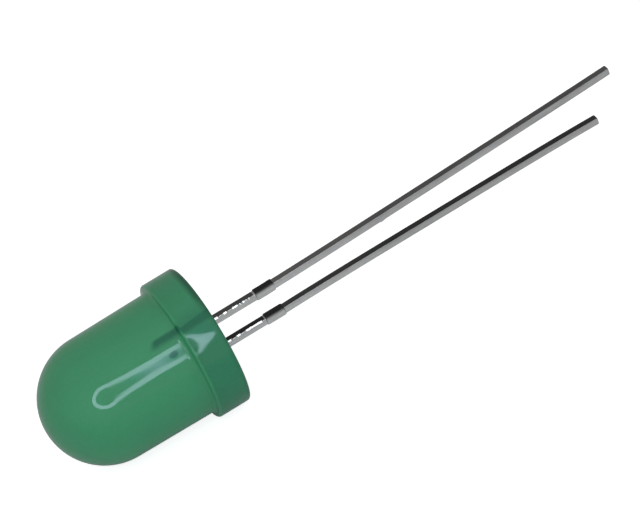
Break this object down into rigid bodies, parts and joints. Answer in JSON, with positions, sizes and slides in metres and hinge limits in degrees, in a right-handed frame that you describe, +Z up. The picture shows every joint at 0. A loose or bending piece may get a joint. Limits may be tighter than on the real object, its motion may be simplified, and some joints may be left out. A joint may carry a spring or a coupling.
{
  "type": "through hole led",
  "caption": "Round domed light-emitting diode in a diffused green epoxy casting with a flange and a cathode flat, on long square tinned leads for through-hole mounting.",
  "frame": {"origin": "centre of the flange's rear face, on the casting's axis, which is the seating plane", "axes": "+X along the casting's axis towards the leads, the dome towards -X; +Z up, from the cathode flat towards the anode side; the part lies on the flat"},
  "size_m": [0.0501, 0.0112, 0.0107],
  "materials": {
    "green_epoxy": "glossy moulded epoxy, milky and diffusing, not see-through",
    "tinned_steel": "bright tin over stamped steel, fine lengthwise drawing lines",
    "silver_adhesive": "cured silver-filled adhesive, satin",
    "die_crystal": "sawn and polished crystal",
    "gold_wire": "drawn wire, bright"
  },
  "bodies": {
    "root": {"epoxy_lens": "green_epoxy", "anode_lead": "tinned_steel", "cathode_lead": "tinned_steel", "die_attach": "silver_adhesive", "led_die": "die_crystal", "bond_wire": "gold_wire"}
  },
  "joints": []
}
